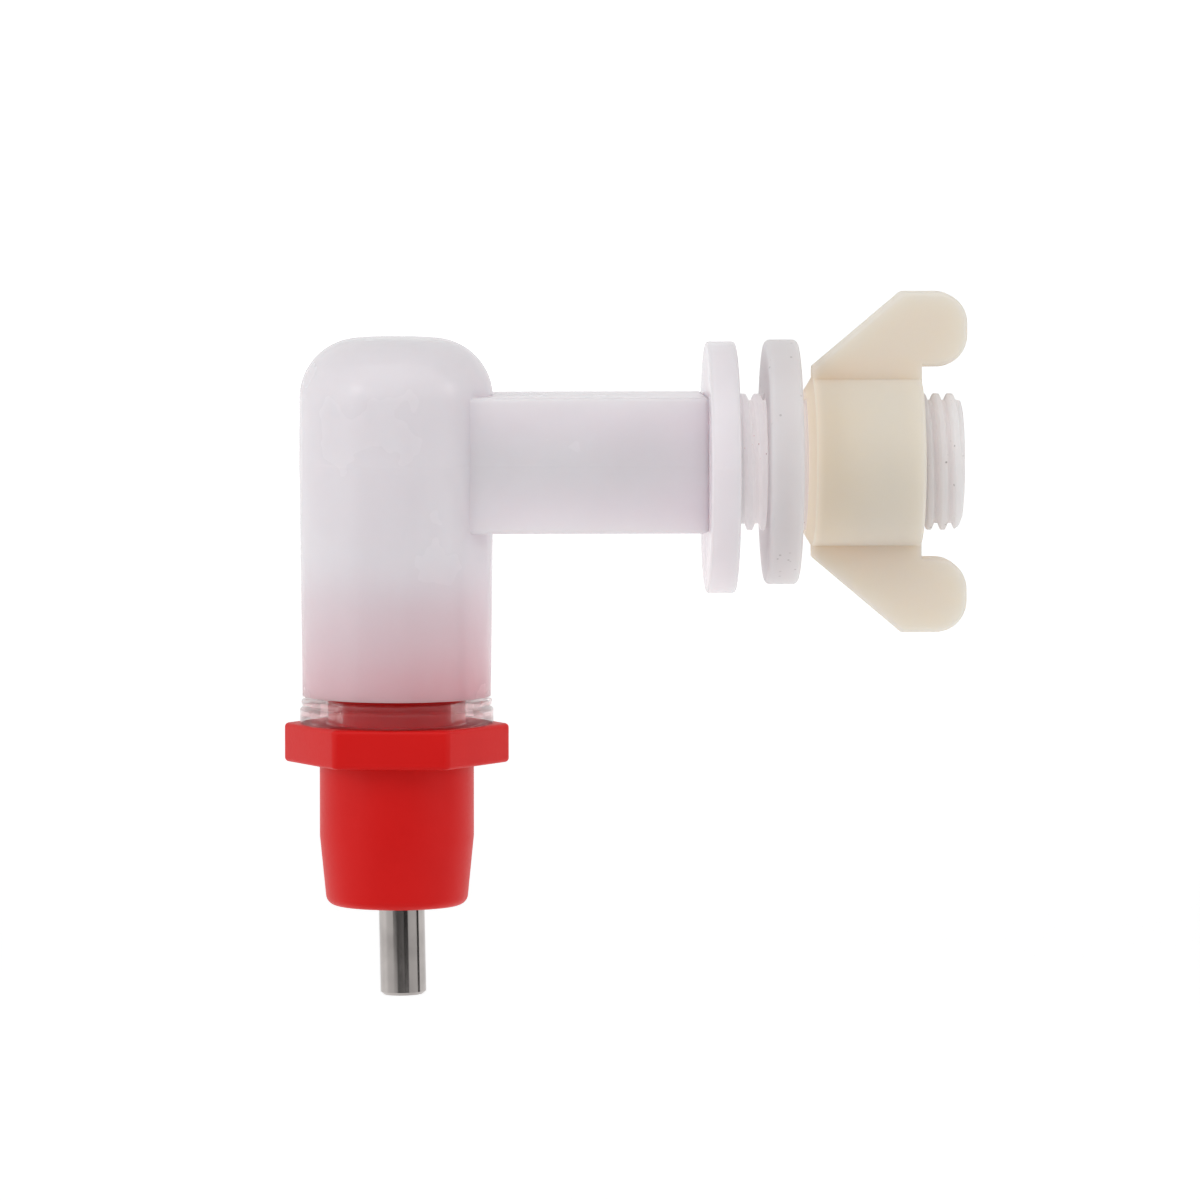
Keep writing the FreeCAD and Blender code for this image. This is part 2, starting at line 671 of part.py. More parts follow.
# ---------------------------------------------------------------- build, check and write
makers = [
    make_elbow,
    make_washer,
    make_wing_nut,
    make_gasket,
    make_valve_body,
    make_sleeve,
    make_seal,
    make_upper_seat,
    make_metering_pin,
    make_trigger_pin,
    make_inlet_cap,
]
bodies = [make() for make in makers]
doc.recompute()

for item in doc.Objects:
    if "Invalid" in item.State or "Error" in item.State:
        raise RuntimeError(f"{item.Label} didn't recompute: {item.State}")
for body in bodies:
    if body.Shape.isNull() or not body.Shape.isValid() or len(body.Shape.Solids) != 1:
        raise RuntimeError(f"{body.Label} isn't one valid solid")

os.makedirs("parts", exist_ok=True)
for body in bodies:
    body.Shape.exportStep(f"parts/{body.Label}.step")
    box = body.Shape.BoundBox
    size = f"{box.XLength:.2f} x {box.YLength:.2f} x {box.ZLength:.2f} mm"
    print(f"{body.Label:14s} {body.Shape.Volume:8.1f} mm3   {size}")
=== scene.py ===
# %% [markdown]
# # A nipple drinker for poultry
#
# A hen pushes the steel pin, the pin tilts in its seat, and water from the bucket runs down it. The body is a milky
# elbow that a wing nut clamps through the bucket's wall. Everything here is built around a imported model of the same
# drinker, which is loaded first and never changed. Units are metres. +X runs along the threaded spigot, +Z is up.

# %% Load the frame
import math

import bmesh
import bpy
from mathutils import Matrix, Vector
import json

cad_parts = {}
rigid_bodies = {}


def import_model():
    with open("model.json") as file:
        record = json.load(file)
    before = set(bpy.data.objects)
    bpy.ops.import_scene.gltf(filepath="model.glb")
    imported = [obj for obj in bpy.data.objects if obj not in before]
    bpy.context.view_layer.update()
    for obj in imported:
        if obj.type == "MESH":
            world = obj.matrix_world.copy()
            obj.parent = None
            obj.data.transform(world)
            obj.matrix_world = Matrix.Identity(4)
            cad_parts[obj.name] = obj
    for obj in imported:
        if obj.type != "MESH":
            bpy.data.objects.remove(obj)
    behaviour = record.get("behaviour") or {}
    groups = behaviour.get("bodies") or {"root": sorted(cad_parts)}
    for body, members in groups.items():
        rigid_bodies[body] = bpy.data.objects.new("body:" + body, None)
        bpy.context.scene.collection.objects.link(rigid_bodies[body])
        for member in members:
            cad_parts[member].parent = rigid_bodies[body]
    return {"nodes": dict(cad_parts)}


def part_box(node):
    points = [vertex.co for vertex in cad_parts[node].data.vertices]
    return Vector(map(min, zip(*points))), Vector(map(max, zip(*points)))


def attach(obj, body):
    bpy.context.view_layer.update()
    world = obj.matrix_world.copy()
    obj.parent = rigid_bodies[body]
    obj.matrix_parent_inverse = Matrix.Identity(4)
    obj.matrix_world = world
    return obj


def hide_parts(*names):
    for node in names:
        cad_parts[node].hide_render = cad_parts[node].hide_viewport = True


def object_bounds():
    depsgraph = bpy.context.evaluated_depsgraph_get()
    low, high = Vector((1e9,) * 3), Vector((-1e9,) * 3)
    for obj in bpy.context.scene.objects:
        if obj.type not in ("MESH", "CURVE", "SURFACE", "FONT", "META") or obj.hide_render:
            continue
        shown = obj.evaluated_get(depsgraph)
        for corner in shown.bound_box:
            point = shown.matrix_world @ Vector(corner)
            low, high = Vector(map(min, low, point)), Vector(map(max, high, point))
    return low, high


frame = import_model()
cad_low, cad_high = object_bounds()
MM = 0.001
print("frame box, mm:", [round(side / MM, 1) for side in cad_high - cad_low])

# %% [markdown]
# ## Where things are
#
# The drinker is one long turned shape after another, so almost every place on it is a distance along one of two
# axes: the spigot's, which is the X axis itself, and the nipple's, which is upright. Both are read from the frame's
# own boxes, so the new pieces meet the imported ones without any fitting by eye.

# %% Read the two axes and the levels along them
sleeve_low, sleeve_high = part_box("seat_sleeve")
gasket_low, gasket_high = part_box("nipple_gasket")
elbow_low, elbow_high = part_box("elbow")
valve_low, valve_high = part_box("nipple_body")

NIPPLE_X = (sleeve_low.x + sleeve_high.x) / 2
HEXAGON_TOP = gasket_low.z
GASKET_TOP = gasket_high.z
SPIGOT_END = elbow_high.x
SHANK_TOP = valve_high.z
THREAD_CREST = 5.7 * MM
THREAD_ROOT = 5.15 * MM
THREAD_PITCH = 1.15 * MM
WATER_BORE = 3.5 * MM
print("nipple axis at x, mm:", round(NIPPLE_X / MM, 2), "spigot ends at x, mm:", round(SPIGOT_END / MM, 2))

# %% [markdown]
# ## The camera
#
# A small object shot from near by looks bulged, so the camera stands far back and uses a long lens. This one
# stands eight tenths of a metre away, a touch to the left and a little above the drinker, which shows the discs
# almost edge on and just opens the top of each ring.

# %% Set up the camera
AIM = Vector((-11.25 * MM, 0, -11.5 * MM))
DISTANCE = 0.79
AZIMUTH = math.radians(-2.4)
ELEVATION = math.radians(4.2)
FRAME_WIDTH = 100 * MM

toward_camera = Vector((math.sin(AZIMUTH) * math.cos(ELEVATION), -math.cos(AZIMUTH) * math.cos(ELEVATION), math.sin(ELEVATION)))
camera_data = bpy.data.cameras.new("camera")
camera_data.sensor_width = 36
camera_data.lens = camera_data.sensor_width * DISTANCE / FRAME_WIDTH
camera = bpy.data.objects.new("camera", camera_data)
camera.location = AIM + toward_camera * DISTANCE
camera.rotation_euler = (-toward_camera).to_track_quat("-Z", "Y").to_euler()
bpy.context.scene.collection.objects.link(camera)
bpy.context.scene.camera = camera
print("lens, mm:", round(camera_data.lens, 1))

# %% [markdown]
# ## Studio light
#
# Milky plastic and polished steel want opposite things. The plastic needs light from all round, and the pin needs
# something dark to reflect or it goes white. So the light comes from large panels at the sides and above, and the
# space around the camera stays dim. The background is simply white.

# %% Hang the soft panels
scene = bpy.context.scene
scene.view_settings.view_transform = "Standard"


def hang_panel(name, azimuth, elevation, distance, width, height, radiance):
    """A soft rectangular panel that faces the drinker. Azimuth 0 is on the camera's side, 90 on the spigot's."""
    light = bpy.data.lights.new(name, "AREA")
    light.shape = "RECTANGLE"
    light.size, light.size_y = width, height
    light.energy = radiance * math.pi * width * height
    panel = bpy.data.objects.new(name, light)
    turn, rise = math.radians(azimuth), math.radians(elevation)
    away = Vector((math.sin(turn) * math.cos(rise), -math.cos(turn) * math.cos(rise), math.sin(rise)))
    panel.location = AIM + away * distance
    panel.rotation_euler = away.to_track_quat("Z", "Y").to_euler()
    panel.visible_camera = False
    scene.collection.objects.link(panel)
    return panel


hang_panel("panel_left", -66, 18, 0.60, 0.34, 0.66, 0.90)
hang_panel("panel_right", 59, 18, 0.60, 0.22, 0.66, 0.75)
hang_panel("panel_above", 0, 58, 0.65, 0.80, 0.50, 0.90)
hang_panel("lamp_left", -53, 21, 0.60, 0.09, 0.07, 13.0)
hang_panel("lamp_right", 68, 21, 0.60, 0.09, 0.07, 10.0)

# %% [markdown]
# The world does two jobs. The camera and the polished metal see plain white, while the plastic is lit by a dim
# grey only, which leaves its shading to the panels. A light path node tells the kinds of ray apart.

# %% Fill the world
world = bpy.data.worlds.new("studio")
world.use_nodes = True
scene.world = world
studio = world.node_tree
backdrop = studio.nodes["Background"]
ray = studio.nodes.new("ShaderNodeLightPath")
level = studio.nodes.new("ShaderNodeMapRange")
level.inputs["To Min"].default_value = 0.42
level.inputs["To Max"].default_value = 1.0
seen = studio.nodes.new("ShaderNodeMath")
seen.operation = "MAXIMUM"
studio.links.new(ray.outputs["Is Camera Ray"], seen.inputs[0])
studio.links.new(ray.outputs["Is Glossy Ray"], seen.inputs[1])
studio.links.new(seen.outputs["Value"], level.inputs["Value"])
studio.links.new(level.outputs["Result"], backdrop.inputs["Strength"])
backdrop.inputs["Color"].default_value = (1, 1, 1, 1)
print("world nodes:", len(studio.nodes))

# %% [markdown]
# ## Writing materials as sums
#
# A finish is a stack of small variations: a colour that drifts, a roughness that follows the wear. Wiring those by
# hand hides the idea, so a wrapper lets a socket stand in ordinary arithmetic. Each operator adds one math node, and
# the reflected forms let a plain number come first, as in 1 - mask.


# %% A socket that can be added and multiplied
class Wire:
    """One output socket of a finish's node tree."""

    def __init__(self, finish, socket):
        self.finish = finish
        self.socket = socket

    def math(self, operation, *others, swapped=False):
        """One Math node over this wire and other wires or numbers."""
        terms = [self, *others]
        if swapped:
            terms.reverse()
        settings = {"operation": operation}
        return self.finish.node("ShaderNodeMath", settings, dict(enumerate(terms)))

    def __add__(self, other):
        return self.math("ADD", other)

    def __sub__(self, other):
        return self.math("SUBTRACT", other)

    def __mul__(self, other):
        return self.math("MULTIPLY", other)

    def __truediv__(self, other):
        return self.math("DIVIDE", other)

    def __radd__(self, other):
        return self.math("ADD", other, swapped=True)

    def __rsub__(self, other):
        return self.math("SUBTRACT", other, swapped=True)

    def __rmul__(self, other):
        return self.math("MULTIPLY", other, swapped=True)

    def ramp(self, low, high):
        """0 up to low and 1 from high on, with a soft step between. High may be the lower number."""
        ends = {"Value": self, "From Min": low, "From Max": high}
        return self.finish.node("ShaderNodeMapRange", {"interpolation_type": "SMOOTHSTEP"}, ends)


# %% [markdown]
# A finish owns one material with one principled shader. Its node method takes any node: the settings are set before
# the sockets, because an operation or a data type decides which sockets the node has. What is the same all over a
# surface goes straight on the shader, and only what varies is linked.


# %% A material under construction
def tone(red, green, blue):
    """A display colour from 0 to 255, as the linear colour that shaders use."""
    parts = [part / 255 for part in (red, green, blue)]
    return (*[part / 12.92 if part <= 0.04045 else ((part + 0.055) / 1.055) ** 2.4 for part in parts], 1.0)


class Finish:
    """A procedural material that reads object coordinates, which are the drinker's own, in metres."""

    def __init__(self, name, **plain):
        self.material = bpy.data.materials.new(name)
        self.material.use_nodes = True
        self.tree = self.material.node_tree
        self.shader = self.tree.nodes["Principled BSDF"]
        for socket, value in plain.items():
            self.shader.inputs[socket.replace("_", " ")].default_value = value
        self.place = self.node("ShaderNodeTexCoord", {}, {}, "Object")

    def node(self, kind, settings, sockets, output=0):
        """Adds a node, sets it up, feeds its sockets with wires or values, and returns one output."""
        node = self.tree.nodes.new(kind)
        for name, value in settings.items():
            setattr(node, name, value)
        for name, value in sockets.items():
            if isinstance(value, Wire):
                self.tree.links.new(value.socket, node.inputs[name])
            else:
                node.inputs[name].default_value = value
        return Wire(self, node.outputs[output])

    def feed(self, **sockets):
        """Links what varies to the shader, by socket names with underscores for spaces."""
        for name, wire in sockets.items():
            self.tree.links.new(wire.socket, self.shader.inputs[name.replace("_", " ")])

    def along(self, axis):
        """How far a point lies along X, Y or Z."""
        return self.node("ShaderNodeSeparateXYZ", {}, {"Vector": self.place}, axis)

    def noise(self, size, detail=2.0, stretch=(1, 1, 1), offset=(0, 0, 0)):
        """Soft noise from 0 to 1 with features of a size in metres, stretched along the axes."""
        turned = self.node("ShaderNodeMapping", {}, {"Vector": self.place, "Location": offset, "Scale": stretch})
        return self.node("ShaderNodeTexNoise", {}, {"Vector": turned, "Scale": 1 / size, "Detail": detail})

    def specks(self, spacing, radius):
        """A mask of scattered round specks: 1 inside a speck, and 0 everywhere else."""
        cells = {"Vector": self.place, "Scale": 1 / spacing}
        distance = self.node("ShaderNodeTexVoronoi", {}, cells, "Distance")
        return distance.ramp(radius / spacing, 0.6 * radius / spacing)

    def mix(self, factor, first, second):
        """A colour between two others."""
        return self.node("ShaderNodeMix", {"data_type": "RGBA"}, {"Factor": factor, 6: first, 7: second}, 2)

    def relief(self, height, depth, below=None):
        """A bump of a depth in metres for a height from 0 to 1, stacked on one below."""
        sockets = {"Height": height, "Distance": depth, "Strength": 1.0}
        if below:
            sockets["Normal"] = below
        return self.node("ShaderNodeBump", {}, sockets)


print("writing finishes as sums of wires")

# %% [markdown]
# ## Milky moulded plastic
#
# The elbow is natural polyethylene: light goes in, wanders about and comes out a few millimetres away. Subsurface
# scattering gives that glow. Close over the nipple the red thread shines through the wall, and since a baked export
# can't scatter, the base colour carries a blush there as well. It grows from the top of the thread down to the rim.


# %% The elbow's finish
def milky(name, colour, blush=None, waxy=0.34, dirt=0.0):
    """Translucent plastic of a colour, with an optional blush towards the socket's rim and optional dirt in pits."""
    finish = Finish(name, Subsurface_Weight=0.95, Subsurface_Radius=(1.0, 0.9, 0.88), Subsurface_Scale=4.5 * MM, IOR=1.5)
    finish.shader.inputs["Specular IOR Level"].default_value = 0.35
    cloud = finish.noise(7 * MM, 3)
    skin = finish.noise(0.45 * MM, 3)
    pale = [part * 1.03 for part in colour[:3]] + [1]
    shade = finish.mix(cloud.ramp(0.3, 0.7), colour, pale)
    if blush:
        height = finish.along("Z")
        upper = height.ramp(SHANK_TOP + 4.0 * MM, SHANK_TOP - 3.0 * MM)
        lower = height.ramp(SHANK_TOP - 1.5 * MM, HEXAGON_TOP + 0.5 * MM)
        near = finish.along("X").ramp(NIPPLE_X + 10 * MM, NIPPLE_X + 7 * MM)
        side = 0.76 + 0.24 * finish.along("X").ramp(NIPPLE_X - 6 * MM, NIPPLE_X + 6 * MM)
        shade = finish.mix((0.45 * upper + 0.55 * lower) * near * side * (0.85 + 0.15 * cloud), shade, blush)
    if dirt:
        patch = finish.noise(2.2 * MM, 2).ramp(0.5, 0.62)
        shade = finish.mix(dirt * patch * finish.specks(0.7 * MM, 0.13 * MM), shade, tone(112, 104, 100))
    finish.feed(Base_Color=shade, Roughness=waxy + 0.12 * cloud, Normal=finish.relief(skin, 0.006 * MM))
    return finish


ELBOW_PLASTIC = milky("milky_plastic", tone(240, 231, 237), blush=tone(222, 152, 160), waxy=0.2)
WASHER_PLASTIC = milky("washer_plastic", tone(219, 215, 216), dirt=0.35)
print("plastics:", ELBOW_PLASTIC.material.name, WASHER_PLASTIC.material.name)

# %% [markdown]
# The threaded spigot is the same plastic, but daylight from its open end shines through it. In the slot between the
# flange and the washer no panel reaches it, and it would go dark although the real one is as bright as the flange.
# A faint glow stands for the light that comes through from inside. It fades out under the nut, so that no edge shows
# when the nut is screwed back.

# %% The spigot's finish
THREAD_PLASTIC = milky("thread_plastic", tone(240, 232, 231), waxy=0.62, dirt=0.6)
thread_place = THREAD_PLASTIC.along("X")
in_slot = thread_place.ramp(-0.2 * MM, 0.2 * MM) * thread_place.ramp(12 * MM, 2.6 * MM)
THREAD_PLASTIC.feed(Emission_Color=THREAD_PLASTIC.mix(in_slot, (0, 0, 0, 1), (0.215, 0.21, 0.215, 1)))
THREAD_PLASTIC.shader.inputs["Emission Strength"].default_value = 1.0
print("thread:", THREAD_PLASTIC.material.name)

# %% [markdown]
# ## Cream plastic of the wing nut
#
# The nut is moulded from another batch, which has yellowed. The thick hub keeps more of the warm tone than the thin
# wings do, because light crosses more plastic there, so the colour drifts with the distance from the spigot's axis.
# The hub's end next to the washer carries a faint painted glow, which lifts the shade in the gap between the two.


# %% The wing nut's finish
def cream():
    """Yellowed plastic, warmer in the thick hub than out in the wings, with a painted glow on the hub's end by the
    washer.
    """
    finish = Finish("cream_plastic", Subsurface_Weight=0.95, Subsurface_Radius=(1.0, 0.95, 0.85), Subsurface_Scale=2.6 * MM, IOR=1.5)
    finish.shader.inputs["Specular IOR Level"].default_value = 0.3
    height = finish.along("Z").math("ABSOLUTE")
    thick = height.ramp(10 * MM, 5.5 * MM)
    cloud = finish.noise(5 * MM, 3, offset=(0.3, 0.1, 0.7))
    along = finish.along("X")
    warm = along.ramp(13 * MM, 7 * MM) * (0.4 + 0.9 * cloud)
    shade = finish.mix(thick * (0.5 + 0.5 * warm), tone(238, 229, 216), tone(246, 226, 205))
    skin = finish.noise(0.5 * MM, 3)
    # Painted light: a faint glow on the hub's end by the washer, against the shade in the gap between washer and nut.
    finish.feed(Emission_Color=finish.mix(along.ramp(7.2 * MM, 5.8 * MM), (0, 0, 0, 1), (0.22, 0.2, 0.17, 1)))
    finish.shader.inputs["Emission Strength"].default_value = 1.0
    finish.feed(Base_Color=shade, Roughness=0.42 + 0.15 * cloud, Normal=finish.relief(skin, 0.006 * MM))
    return finish


NUT_PLASTIC = cream()
print("nut:", NUT_PLASTIC.material.name)

# %% [markdown]
# ## Red moulded plastic
#
# The nipple's body is a dense, fully coloured plastic with a satin skin. It hardly scatters. What gives it life is a
# fine moulded texture.


# %% The valve body's finish
def red():
    """Solid red plastic with a satin skin."""
    finish = Finish("red_plastic", Subsurface_Weight=0.08, Subsurface_Radius=(1.0, 0.2, 0.1), Subsurface_Scale=0.6 * MM, IOR=1.47)
    finish.shader.inputs["Specular IOR Level"].default_value = 0.22
    cloud = finish.noise(4 * MM, 3)
    skin = finish.noise(0.3 * MM, 4)
    shade = finish.mix(cloud, tone(216, 12, 10), tone(224, 22, 19))
    finish.feed(Base_Color=shade, Roughness=0.36 + 0.14 * skin, Normal=finish.relief(skin, 0.008 * MM))
    return finish


BODY_PLASTIC = red()
print("body:", BODY_PLASTIC.material.name)

# %% [markdown]
# ## Clear gasket
#
# The gasket is soft clear vinyl. It lets the red through, and its ridges catch light along their edges, so most of
# its look comes from its shape. The finish only has to be clear, a little cloudy and slightly rough.


# %% The gasket's finish
def clear():
    """Soft, slightly cloudy clear vinyl."""
    finish = Finish("clear_vinyl", Transmission_Weight=0.88, IOR=1.26, Alpha=0.55)
    cloud = finish.noise(1.8 * MM, 3)
    shade = finish.mix(cloud, tone(222, 156, 161), tone(238, 186, 190))
    finish.feed(Base_Color=shade, Roughness=0.06 + 0.16 * cloud)
    return finish


GASKET_VINYL = clear()
print("gasket:", GASKET_VINYL.material.name)

# %% [markdown]
# ## Turned stainless steel
#
# Bar stock comes off the lathe with rings round it too fine to count. They widen every reflection into bands that
# run along the pin. A noise that is stretched along the pin's length gives fine streaks along it instead, and some
# darker film keeps the metal from looking like a mirror.


# %% The steel's finish
def turned_steel(name, colour, roughness):
    """Drawn steel with fine streaks along the upright axis."""
    finish = Finish(name, Metallic=1.0)
    rings = finish.noise(0.35 * MM, 3, stretch=(1, 1, 0.02))
    film = finish.noise(2.5 * MM, 3)
    dull = tuple(part * 0.82 for part in colour[:3]) + (1,)
    shade = finish.mix(film.ramp(0.35, 0.75), colour, dull)
    rough = roughness + 0.08 * rings + 0.06 * film
    finish.feed(Base_Color=shade, Roughness=rough, Normal=finish.relief(rings, 0.003 * MM))
    return finish


PIN_STEEL = turned_steel("pin_steel", tone(182, 176, 173), 0.05)
SEAT_STEEL = turned_steel("seat_steel", tone(196, 192, 188), 0.24)
print("steel:", PIN_STEEL.material.name, SEAT_STEEL.material.name)

# %% [markdown]
# ## Rubber and cap
#
# Two finishes for pieces that sit deep inside: the black sealing ring, and the white cap that lets water in.


# %% The hidden pieces' finishes
def rubber():
    """Black rubber with a dusty skin."""
    finish = Finish("seal_rubber")
    dust = finish.noise(0.4 * MM, 4)
    finish.feed(Base_Color=finish.mix(dust, tone(28, 28, 29), tone(48, 47, 46)), Roughness=0.6 + 0.2 * dust)
    return finish


SEAL_RUBBER = rubber()
CAP_PLASTIC = milky("cap_plastic", tone(236, 236, 232))
print("inside:", SEAL_RUBBER.material.name, CAP_PLASTIC.material.name)

# %% [markdown]
# ## Floor
#
# The drinker hangs in the air, held by its flange, over a wide pale floor. The floor glows faintly, like the
# translucent table of a light tent, so that it reads as white and sends light up under the hexagon.

# %% Lay the floor
FLOOR_LEVEL = cad_low.z - 22 * MM

floor_mesh = bmesh.new()
bmesh.ops.create_circle(floor_mesh, cap_ends=True, segments=96, radius=14)
bmesh.ops.translate(floor_mesh, verts=floor_mesh.verts, vec=(0, 0, FLOOR_LEVEL))
floor_data = bpy.data.meshes.new("floor")
floor_mesh.to_mesh(floor_data)
floor_mesh.free()
floor = bpy.data.objects.new("floor", floor_data)
scene.collection.objects.link(floor)
floor_finish = Finish("floor_white", Roughness=0.9, Emission_Strength=0.75)
floor_finish.shader.inputs["Specular IOR Level"].default_value = 0.1
floor_grain = floor_finish.noise(0.4, 3)
floor_depth = floor_finish.along("Y")
near_glow = 0.15 * floor_depth.ramp(-0.14, -0.02) + 0.45 * floor_depth.ramp(-0.05, 0.03)
floor_reach = near_glow + 0.38 * floor_depth.ramp(0.1, 0.9)
floor_glow = floor_finish.mix(floor_reach, (0, 0, 0, 1), (1, 1, 1, 1))
floor_paper = floor_finish.mix(floor_grain, tone(238, 238, 238), tone(244, 244, 244))
floor_finish.feed(Base_Color=floor_paper, Emission_Color=floor_glow)
floor_data.materials.append(floor_finish.material)
print("floor at z, mm:", round(FLOOR_LEVEL / MM, 1))

# %% [markdown]
# ## Black cards
#
# A polished pin shows whatever stands beside the camera. Black cards hang just out of view for that, and the
# pin gets the dark core that makes it read as metal. A grey card stands in front here with a black stripe beside
# it, another grey one lies on the floor before it, and a slim black one stands at the right. They show only in
# reflections and shade nothing.

# %% Hang the cards
def paper(name, dark, light):
    """Matt card between two greys."""
    finish = Finish(name, Roughness=0.9)
    grain = finish.noise(2 * MM, 2)
    finish.feed(Base_Color=finish.mix(grain, tone(dark, dark, dark), tone(light, light, light)))
    return finish


BLACK_CARD = paper("card_black", 12, 20)
GREY_CARD = paper("card_grey", 112, 124)


def hang_card(name, finish, azimuth, distance, width, low, high, flat=False):
    """A card that faces the drinker, upright or flat, and that shows only in reflections."""
    shape = bmesh.new()
    bmesh.ops.create_grid(shape, x_segments=1, y_segments=1, size=0.5)
    bmesh.ops.scale(shape, verts=shape.verts, vec=(width, high - low, 1))
    if not flat:
        bmesh.ops.rotate(shape, verts=shape.verts, matrix=Matrix.Rotation(math.pi / 2, 3, "X"))
    middle = (0, -(low + high) / 2, distance) if flat else (0, -distance, (low + high) / 2)
    bmesh.ops.translate(shape, verts=shape.verts, vec=middle)
    bmesh.ops.rotate(shape, verts=shape.verts, matrix=Matrix.Rotation(math.radians(azimuth), 3, "Z"))
    bmesh.ops.translate(shape, verts=shape.verts, vec=(NIPPLE_X, 0, 0))
    data = bpy.data.meshes.new(name)
    shape.to_mesh(data)
    shape.free()
    data.materials.append(finish.material)
    card = bpy.data.objects.new(name, data)
    card.visible_camera = card.visible_diffuse = card.visible_shadow = card.visible_transmission = False
    scene.collection.objects.link(card)
    return card


hang_card("card_front", GREY_CARD, -20, 0.195, 0.21, FLOOR_LEVEL + 1 * MM, 0)
hang_card("card_stripe", BLACK_CARD, 18, 0.185, 0.07, FLOOR_LEVEL + 1 * MM, 0)
hang_card("card_right", BLACK_CARD, 84, 0.185, 0.045, FLOOR_LEVEL + 1 * MM, 0)
hang_card("card_floor", GREY_CARD, -10, FLOOR_LEVEL + 1 * MM, 0.11, 0.004, 0.19, flat=True)
print("cards hang")

# %% [markdown]
# ## Working on copies
#
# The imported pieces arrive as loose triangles. To refine one, its mesh is copied, the doubled points are merged, and
# the copy stands in for the original. Edges that turn sharply stay sharp and all the others shade smoothly.

# %% Helpers for new pieces
SHARP = math.radians(32)


def copy_of(node):
    """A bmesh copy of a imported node, with its triangles joined up."""
    shape = bmesh.new()
    shape.from_mesh(frame["nodes"][node].data)
    bmesh.ops.remove_doubles(shape, verts=shape.verts, dist=0.0005 * MM)
    return shape


def finish_piece(shape, name, finish, body, replaces=None, sharp=SHARP):
    """Turns a bmesh into a shown piece that rides on a body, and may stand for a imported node."""
    bmesh.ops.dissolve_degenerate(shape, edges=shape.edges, dist=0.0002 * MM)
    bmesh.ops.recalc_face_normals(shape, faces=shape.faces)
    for face in shape.faces:
        face.smooth = True
    for edge in shape.edges:
        edge.smooth = len(edge.link_faces) == 2 and edge.calc_face_angle(0) < sharp
    open_edges = sum(len(edge.link_faces) != 2 for edge in shape.edges)
    data = bpy.data.meshes.new(name)
    shape.to_mesh(data)
    shape.free()
    data.materials.append(finish.material)
    piece = bpy.data.objects.new(name, data)
    scene.collection.objects.link(piece)
    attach(piece, body)
    if replaces:
        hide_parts(replaces)
    print(f"{name}: {len(data.polygons)} faces, {open_edges} open edges")
    return piece


def keep_side(shape, point, normal):
    """Cuts a shape with a plane, drops the side that the normal points to, and returns the cut's edges."""
    everything = shape.verts[:] + shape.edges[:] + shape.faces[:]
    cut = bmesh.ops.bisect_plane(shape, geom=everything, dist=1e-7, plane_co=point, plane_no=normal, clear_outer=True)
    return [item for item in cut["geom_cut"] if isinstance(item, bmesh.types.BMEdge)]


# %% [markdown]
# ## Threads
#
# A thread is one tooth's outline swept round and along at the same time. Spin does that when it gets a step along
# the axis. One pitch of outline is spun for as many turns as needed, each turn meets the last, and two planes trim
# the strip to length. Joined to a plain bore, it becomes a closed threaded tube. The joining faces are laid in the
# order of their angles, because a ring of thread and a ring of bore have different numbers of points. The tips are
# rounded over at the free end, as a moulder does so that the nut starts easily.


# %% Spin a threaded tube
def join_rings(shape, *rings):
    """Fills between two rings of points round the X axis, in the order of their angles, so that nothing crosses."""
    walk = [(number, vert) for number, ring in enumerate(rings) for vert in ring]
    walk.sort(key=lambda step: math.atan2(step[1].co.z, step[1].co.y))
    corner = dict(walk)
    for number, vert in walk:
        shape.faces.new((corner[0], corner[1], vert))
        corner[number] = vert


def threaded_tube(start, end, crest, root, bore, lead_in, steps=72):
    """A right-hand threaded tube along +X from start to end, with its last thread rounded into the end."""
    turns = math.ceil((end - start) / THREAD_PITCH) + 1
    pitch = THREAD_PITCH
    tooth = [(0, root), (0.1, root), (0.28, crest - 0.05 * MM), (0.34, crest), (0.62, crest)]
    tooth += [(0.68, crest - 0.05 * MM), (0.86, root), (1, root)]
    shape = bmesh.new()
    row = [shape.verts.new((start - pitch + part * pitch, 0, radius)) for part, radius in tooth]
    line = [shape.edges.new(pair) for pair in zip(row, row[1:])]
    bmesh.ops.spin(
        shape,
        geom=row + line,
        cent=(0, 0, 0),
        axis=(1, 0, 0),
        dvec=(pitch / steps, 0, 0),
        angle=math.tau * turns,
        steps=steps * turns,
    )
    bmesh.ops.remove_doubles(shape, verts=shape.verts, dist=0.001 * MM)
    first = keep_side(shape, (start, 0, 0), (-1, 0, 0))
    last = keep_side(shape, (end, 0, 0), (1, 0, 0))
    for vert in shape.verts:
        into = vert.co.x - (end - lead_in)
        if into > 0:
            limit = crest - lead_in + math.sqrt(max(lead_in**2 - into**2, 0))
            radius = math.hypot(vert.co.y, vert.co.z)
            if radius > limit:
                vert.co.yz = vert.co.yz * (limit / radius)
    holes = []
    for place, rim in ((start, first), (end, last)):
        hole = bmesh.ops.create_circle(shape, segments=steps, radius=bore, matrix=Matrix.Rotation(math.pi / 2, 4, "Y"))
        bmesh.ops.translate(shape, verts=hole["verts"], vec=(place, 0, 0))
        join_rings(shape, {vert for edge in rim for vert in edge.verts}, hole["verts"])
        holes.append(hole["verts"])
    join_rings(shape, *holes)
    return shape


spigot = threaded_tube(0.1 * MM, SPIGOT_END, THREAD_CREST, THREAD_ROOT, WATER_BORE, 0.9 * MM)
spigot_piece = finish_piece(spigot, "spigot_thread", THREAD_PLASTIC, "fitting", replaces="elbow")

# %% [markdown]
# ## The elbow
#
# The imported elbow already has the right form, so a copy of it loses its plain spigot and keeps the rest. The mould's
# two halves met at the height of the spigot's axis, and a hair-fine ridge still runs round the elbow there. A cut
# that is pushed outwards makes it, and two more on each side keep its shading from spreading over the wall.

